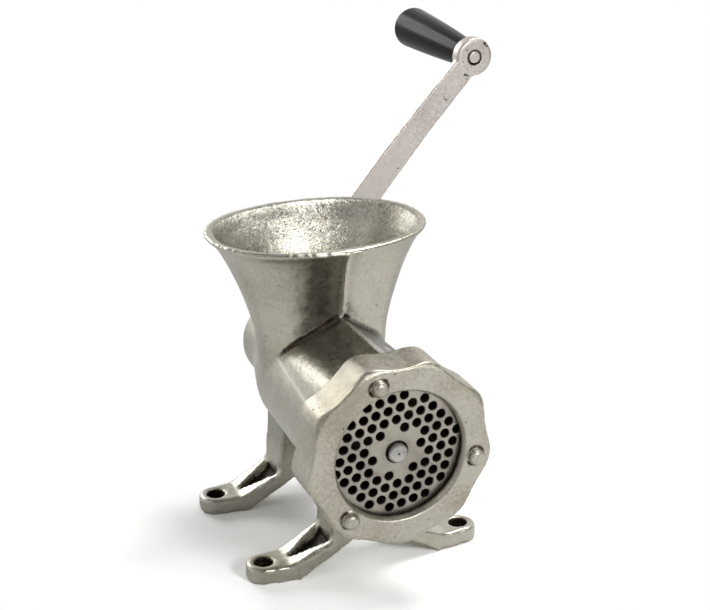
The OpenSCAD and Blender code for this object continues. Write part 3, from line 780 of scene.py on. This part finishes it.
class GRINDER_OT_thread(bpy.types.Operator):
    """Run the coarse thread round the mouth of the barrel"""

    bl_idname = "grinder.thread"
    bl_label = "Mouth thread"

    def execute(self, context):
        sizes = context.scene.grinder_sizes
        recipe = Recipe("mouth thread", {
            "Radius": 0.0447, "Pitch": sizes.thread_pitch, "Turns": sizes.thread_turns,
            "Bead": 0.00115, "Start": MOUTH_Y + 0.0022})
        given = recipe.given
        spiral = recipe.node("GeometryNodeCurveSpiral", {
            "Resolution": 72, "Rotations": given["Turns"], "Start Radius": given["Radius"],
            "End Radius": given["Radius"], "Height": recipe.times(given["Pitch"], given["Turns"])})
        bead = recipe.node("GeometryNodeCurvePrimitiveCircle", {
            "Resolution": 10, "Radius": given["Bead"]})
        sweep = recipe.node("GeometryNodeCurveToMesh", {
            "Curve": spiral.outputs["Curve"], "Profile Curve": bead.outputs["Curve"],
            "Fill Caps": True})
        laid = recipe.move(sweep.outputs["Mesh"], recipe.vector(0.0, given["Start"], AXIS_Z),
                           (-math.pi / 2, 0, 0))
        piece = recipe.build(laid, "mouth_thread", finishes()["cast"])
        crease(piece, 60)
        dress(piece, "casting", "tinned_iron", finishes()["cast"])
        return {"FINISHED"}


class GRINDER_OT_ring_nut(bpy.types.Operator):
    """Cast the lobed ring nut with its three lugs"""

    bl_idname = "grinder.ring_nut"
    bl_label = "Ring nut"

    def execute(self, context):
        piece = recast("ring_nut", "ring_cast", RING_GRID)
        mesh = piece.data
        outer = step(radius_about(read_points(mesh), 0, AXIS_Z), 0.0475, 0.049)
        relax(mesh, 12, 0.2 + 0.35 * outer)
        near = hollows(mesh, 10)
        sand_cast(mesh, [(0.014, 0.00018, 1.0), (0.006, 0.00008, 5.0)])
        smooth_shade(mesh)
        points = read_points(mesh)
        # painted shade on the ring's bore beside the plate, and in the hollows round the lugs
        wall = fall(radius_about(points, 0, AXIS_Z), 0.0382, 0.0392)
        wall *= step(points[:, 1], PLATE_FRONT_Y - 0.0042, PLATE_FRONT_Y - 0.0018)
        paint(mesh, "grime_and_shade", most(step(near, 0.00010, 0.00045) * 0.8, wall))
        dress(piece, "ring", "tinned_iron_ring", finishes()["ring"], "ring_nut")
        return {"FINISHED"}


class GRINDER_OT_plate(bpy.types.Operator):
    """Drill the grinding plate: rows of holes with broken edges, a centre hole and a pin notch"""

    bl_idname = "grinder.plate"
    bl_label = "Grinding plate"

    def execute(self, context):
        sizes = context.scene.grinder_sizes
        thick = PLATE_REAR_Y - PLATE_FRONT_Y
        recipe = Recipe("perforated plate", {
            "Plate Radius": PLATE_R, "Thickness": thick, "Hole Pitch": sizes.hole_pitch,
            "Hole Radius": sizes.hole_radius, "Edge Break": sizes.edge_break,
            "Centre Radius": 0.0065, "Turn": sizes.hole_turn})
        given = recipe.given
        holes = recipe.node("GeometryNodeInstanceOnPoints", {
            "Points": self.sites(recipe), "Instance": self.drill(recipe, given["Hole Radius"], 24)})
        drills = recipe.node("GeometryNodeRealizeInstances", {
            "Geometry": holes.outputs["Instances"]})
        around = NOTCH_AT - sizes.hole_turn
        notch = recipe.move(
            recipe.cylinder(NOTCH_R, thick * 1.4, 24),
            (NOTCH_CIRCLE_R * math.cos(around), NOTCH_CIRCLE_R * math.sin(around), 0))
        blank = recipe.cylinder(given["Plate Radius"], given["Thickness"], 160)
        cut = recipe.node("GeometryNodeMeshBoolean", {"Mesh 1": blank}, operation="DIFFERENCE")
        for cutter in (notch, self.drill(recipe, given["Centre Radius"], 64),
                       drills.outputs["Geometry"]):
            recipe.feed(cut.inputs["Mesh 2"], cutter)
        turned = recipe.move(cut.outputs["Mesh"], (0, 0, 0), recipe.vector(0, 0, given["Turn"]))
        laid = recipe.move(turned, (0, (PLATE_FRONT_Y + PLATE_REAR_Y) / 2, AXIS_Z),
                           (math.pi / 2, 0, 0))
        piece = recipe.build(laid, "perforated_plate", finishes()["plate"])
        crease(piece, 25)
        dress(piece, "plate", "plate_steel", finishes()["plate"], "grinding_plate")
        return {"FINISHED"}

    def sites(self, recipe):
        """Points of the rows of holes, clear of the middle and of all but two places at the rim."""
        pitch, maths, times = recipe.given["Hole Pitch"], recipe.maths, recipe.times
        span = times(pitch, float(GRID_SIDE - 1))
        grid = recipe.node("GeometryNodeMeshGrid", {
            "Size X": span, "Size Y": span, "Vertices X": GRID_SIDE, "Vertices Y": GRID_SIDE})
        x, y, _ = recipe.parts(recipe.position())
        rows = recipe.shift(grid.outputs["Mesh"], recipe.vector(
            maths("ADD", x, times(y, 0.5)), times(y, math.sqrt(3) / 2), 0.0))
        far = recipe.node("ShaderNodeVectorMath", {0: recipe.position()}, operation="LENGTH")
        steps = maths("DIVIDE", far.outputs["Value"], pitch)
        offset = maths("ABSOLUTE", recipe.parts(recipe.position())[1])
        row_end = times(maths("LESS_THAN", offset, 0.001), maths("LESS_THAN", steps, ROW_END_AT))
        rim = times(maths("GREATER_THAN", steps, LAST_HOLE_AT), maths("SUBTRACT", 1.0, row_end))
        lost = maths("ADD", maths("LESS_THAN", steps, NO_HOLE_WITHIN), rim)
        clear = recipe.node("GeometryNodeDeleteGeometry", {
            "Geometry": rows, "Selection": maths("GREATER_THAN", lost, 0.5)}, domain="POINT")
        return recipe.node("GeometryNodeMeshToPoints", {
            "Mesh": clear.outputs["Geometry"]}).outputs["Points"]

    def drill(self, recipe, radius, around):
        """Cutter whose ends flare, so that it breaks the edges of its hole."""
        maths, times = recipe.maths, recipe.times
        thick, edge = recipe.given["Thickness"], recipe.given["Edge Break"]
        cutter = recipe.cylinder(radius, maths("ADD", thick, times(edge, 4.0)), around, 3)
        x, y, z = recipe.parts(recipe.position())
        half = times(thick, 0.5)
        end = maths("GREATER_THAN", maths("ABSOLUTE", z), half)
        inner = times(maths("SIGN", z), maths("SUBTRACT", half, edge))
        grow = maths("ADD", times(end, maths("DIVIDE", times(edge, 3.0), radius)), 1.0)
        level = recipe.node("GeometryNodeSwitch", {"Switch": end, "False": inner, "True": z},
                            input_type="FLOAT").outputs[0]
        return recipe.shift(cutter, recipe.vector(times(x, grow), times(y, grow), level))


class GRINDER_OT_worm(bpy.types.Operator):
    """Cast the worm and finish the stud, knife, pin and washer behind the plate"""

    bl_idname = "grinder.worm"
    bl_label = "Worm and knife"

    def execute(self, context):
        piece = recast("feed_worm", "worm_cast", WORM_GRID)
        mesh = piece.data
        machined = step(read_points(mesh)[:, 1], 0.036, 0.040)
        relax(mesh, 8, 0.5 * (1 - 0.7 * machined))
        sand_cast(mesh, [(0.008, 0.00012, 2.0)])
        smooth_shade(mesh)
        # painted shade in the hollows, except on the machined end
        paint(mesh, "grime_and_shade", step(hollows(mesh, 12), 0.0001, 0.0007) * (1 - machined))
        dress(piece, "drive", "tinned_iron_worm", finishes()["worm"], "feed_worm")
        for node in ("worm_stud", "cutter_knife", "plate_pin"):
            paint_node(node, finishes()["steel"])
        paint_node("thrust_washer", finishes()["fibre"])
        return {"FINISHED"}


class GRINDER_OT_crank(bpy.types.Operator):
    """Cast the crank and its wing screw, and finish the washers"""

    bl_idname = "grinder.crank"
    bl_label = "Crank"

    def execute(self, context):
        piece = recast("crank_arm", "crank_cast", CRANK_GRID)
        mesh = piece.data
        relax(mesh, 9, 0.5)
        near = hollows(mesh, CLOSE)
        sand_cast(mesh, [(0.02, 0.0003, 4.0), (0.006, 0.00012, 6.0)])
        smooth_shade(mesh)
        points = read_points(mesh)
        # painted shade round the pin, darker towards its lower left, and in the hollows
        side = np.arctan2(points[:, 2] - GRIP_Z, points[:, 0] - GRIP_X)
        shade = 0.75 + 0.25 * np.cos(side - math.radians(215))
        pin_edge = fall(radius_about(points, GRIP_X, GRIP_Z), 0.0048, 0.0056)
        grime_and_shade = most(pin_edge * shade, step(near, 0.00015, 0.0006) * 0.6)
        for x_mm, z_mm, size in BARE_SPOTS:
            spot = radius_about(points, GRIP_X + x_mm / 1000, GRIP_Z + z_mm / 1000)
            grime_and_shade = most(grime_and_shade, fall(spot, 0.0003 * size, 0.0010 * size))
        paint(mesh, "grime_and_shade", grime_and_shade)
        dress(piece, "drive", "crank_iron", finishes()["crank"], "crank_arm")
        screw = recast("crank_screw", "wing_screw", SCREW_GRID)
        relax(screw.data, 8, 0.5)
        sand_cast(screw.data, [(0.006, 0.0001, 8.0)])
        smooth_shade(screw.data)
        # painted shade in the screw's hollows
        paint(screw.data, "grime_and_shade", step(hollows(screw.data, CLOSE), 0.0001, 0.0005) * 0.8)
        dress(screw, "drive", "crank_iron", finishes()["crank"], "crank_screw")
        for node in ("crank_washer", "grip_washer"):
            paint_node(node, finishes()["steel"])
        return {"FINISHED"}


class GRINDER_OT_grip(bpy.types.Operator):
    """Turn the black grip and its riveted pin"""

    bl_idname = "grinder.grip"
    bl_label = "Grip and pin"

    def execute(self, context):
        front, back = GRIP_LOW[1], GRIP_HIGH[1]
        big = (GRIP_HIGH[0] - GRIP_LOW[0]) / 2
        taper, belly, nose, heel = 0.0049, 0.0005, 0.0012, 0.0040
        small = big - taper
        bore, lip, sink = 0.00405, 0.0076, 0.0035
        flank = [(big - taper * (1 - t) + belly * math.sin(math.pi * t),
                  front + (back - front - 0.0038) * t)
                 for t in [0.03 + 0.95 * k / 30 for k in range(31)]]
        profile = ([(bore, front), (small - 0.0013, front)]
                   + arc(small - 0.0013, front + nose, nose, -90, 0)[1:]
                   + flank
                   + arc(big - heel, back - heel, heel, 6, 86, 10)
                   + [(lip + 0.0009, back - 0.00005), (lip, back - 0.0008),
                      (lip, back - sink), (bore, back - sink)])
        grip = lathe("black_grip", profile, GRIP_X, GRIP_Z, 128)
        crease(grip, 50)
        dress(grip, "grip", "grip_black", finishes()["lacquer"], "handle_grip")
        front, back = PIN_LOW[1], PIN_HIGH[1]
        head, shank = (PIN_HIGH[0] - PIN_LOW[0]) / 2, 0.0040
        profile = ([(0, front), (shank - 0.0013, front + 0.00003)]
                   + arc(shank - 0.0011, front + 0.0011, 0.0011, -80, 0)
                   + [(shank, back - 0.0025), (head, back - 0.0025)]
                   + arc(head - 0.0012, back - 0.0012, 0.0012, 0, 80)
                   + [(head * 0.4, back), (0, back)])
        pin = lathe("riveted_pin", profile, GRIP_X, GRIP_Z, 64)
        crease(pin, 50)
        dress(pin, "drive", "bare_steel", finishes()["crank"], "handle_pin")
        return {"FINISHED"}


class GRINDER_OT_stage(bpy.types.Operator):
    """Lay the pale bench top, hang the lamps and set the camera"""

    bl_idname = "grinder.stage"
    bl_label = "Stage"

    def execute(self, context):
        stage = context.scene.grinder_stage
        self.bench()
        self.world(stage)
        for name, place, width, setting, share in LAMPS:
            self.lamp(name, place, width, getattr(stage, setting) * share)
        camera = bpy.data.objects.new("camera", bpy.data.cameras.new("camera"))
        context.scene.collection.objects.link(camera)
        camera.data.lens = stage.lens
        camera.data.sensor_width = 36
        camera.data.shift_x = 0.0014
        camera.data.shift_y = -0.0013
        camera.data.clip_end = 20
        turn = Matrix((CAMERA_RIGHT, CAMERA_UP, -CAMERA_WAY)).transposed().to_4x4()
        camera.matrix_world = Matrix.Translation(CAMERA_AT) @ turn
        context.scene.camera = camera
        context.scene.view_settings.view_transform = "Standard"
        return {"FINISHED"}

    def bench(self):
        """Bench top, clear from below. It ends behind the rear feet, so that the crank can turn."""
        mesh = bpy.data.meshes.new("bench")
        corners = [(-BENCH_REACH, -BENCH_REACH), (BENCH_REACH, -BENCH_REACH),
                   (BENCH_REACH, BENCH_BACK), (-BENCH_REACH, BENCH_BACK)]
        mesh.from_pydata([(x, y, BENCH_LEVEL) for x, y in corners], [], [(0, 1, 2, 3)])
        bench = add_object("bench", mesh)
        s = Shader("bench_paper")
        for name, value in (("Base Color", (0.90, 0.90, 0.90)), ("Roughness", 0.8),
                            ("Specular IOR Level", 0.2)):
            s.feed(s.surface.inputs[name], value)
        away = s.node("ShaderNodeVectorMath", {0: s.place}, operation="LENGTH").outputs["Value"]
        white_from = s.maths("MAXIMUM", s.band(away, 0.08, 0.19),
                             s.band(s.parts(s.place)["Y"], 0.035, 0.076))
        pale = s.node("ShaderNodeBsdfDiffuse", {"Color": (1.52, 1.52, 1.52)}).outputs[0]
        top = s.blend(white_from, pale, s.node("ShaderNodeEmission").outputs[0])
        seen = s.node("ShaderNodeLightPath").outputs["Is Camera Ray"]
        under = s.times(seen, s.node("ShaderNodeNewGeometry").outputs["Backfacing"])
        bare = s.blend(seen, s.surface.outputs["BSDF"], top)
        clear = s.blend(under, bare, s.node("ShaderNodeBsdfTransparent").outputs[0])
        s.feed(s.output.inputs["Surface"], clear)
        mesh.materials.append(s.material)

    def world(self, stage):
        """White seen by the camera, a shaded room in reflections and a softer light all round."""
        world = bpy.data.worlds.new("studio")
        bpy.context.scene.world = world
        world.use_nodes = True
        w = Tree(world.node_tree)
        w.tree.nodes.clear()

        def glow(strength):
            return w.node("ShaderNodeBackground", {
                "Strength": strength, "Color": (1, 1, 1)}).outputs[0]

        way = w.parts(w.node("ShaderNodeTexCoord").outputs["Generated"])
        room = w.band(way["Y"], -0.6, 0.35, 0.30, 1.0)
        room = w.times(room, w.band(way["Z"], 0.30, 0.85, 1.0, 0.25))
        room = w.times(room, w.band(way["Z"], -0.15, 0.0, 0.62, 1.0))
        path = w.node("ShaderNodeLightPath").outputs
        light = w.blend(path["Is Glossy Ray"], glow(stage.sky), glow(room))
        light = w.blend(path["Is Transmission Ray"], light, glow(1.0))
        light = w.blend(path["Is Camera Ray"], light, glow(1.0))
        w.node("ShaderNodeOutputWorld", {"Surface": light})

    def lamp(self, name, place, width, power):
        data = bpy.data.lights.new(name, "AREA")
        data.shape = "DISK"
        data.size = width
        data.energy = power
        lamp = bpy.data.objects.new(name, data)
        bpy.context.scene.collection.objects.link(lamp)
        lamp.location = place
        lamp.rotation_euler = (Vector(LAMP_AIM) - Vector(place)).to_track_quat("-Z", "Y").to_euler()


class GRINDER_PT_panel(bpy.types.Panel):
    """Sidebar panel with the settings and one button for each piece"""

    bl_idname = "GRINDER_PT_panel"
    bl_label = "Meat grinder"
    bl_space_type = "VIEW_3D"
    bl_region_type = "UI"
    bl_category = "Grinder"

    def draw(self, context):
        for group in ("grinder_sizes", "grinder_finishes", "grinder_stage"):
            settings = getattr(context.scene, group)
            box = self.layout.box()
            for name in settings.bl_rna.properties.keys():
                if name not in ("rna_type", "name"):
                    box.prop(settings, name)
        for operator in PIECES:
            self.layout.operator(operator.bl_idname)


GROUPS = {"grinder_sizes": GrinderSizes, "grinder_finishes": GrinderFinishes,
          "grinder_stage": GrinderStage}
PIECES = (GRINDER_OT_body, GRINDER_OT_thread, GRINDER_OT_ring_nut, GRINDER_OT_plate,
          GRINDER_OT_worm, GRINDER_OT_crank, GRINDER_OT_grip, GRINDER_OT_stage)


def register():
    for made in (*GROUPS.values(), *PIECES, GRINDER_PT_panel):
        bpy.utils.register_class(made)
    for name, group in GROUPS.items():
        setattr(bpy.types.Scene, name, PointerProperty(type=group))


def unregister():
    for name in GROUPS:
        delattr(bpy.types.Scene, name)
    for made in reversed((*GROUPS.values(), *PIECES, GRINDER_PT_panel)):
        bpy.utils.unregister_class(made)


def main():
    register()
    for operator in PIECES:
        group, name = operator.bl_idname.split(".")
        getattr(getattr(bpy.ops, group), name)()


if __name__ == "__main__":
    main()
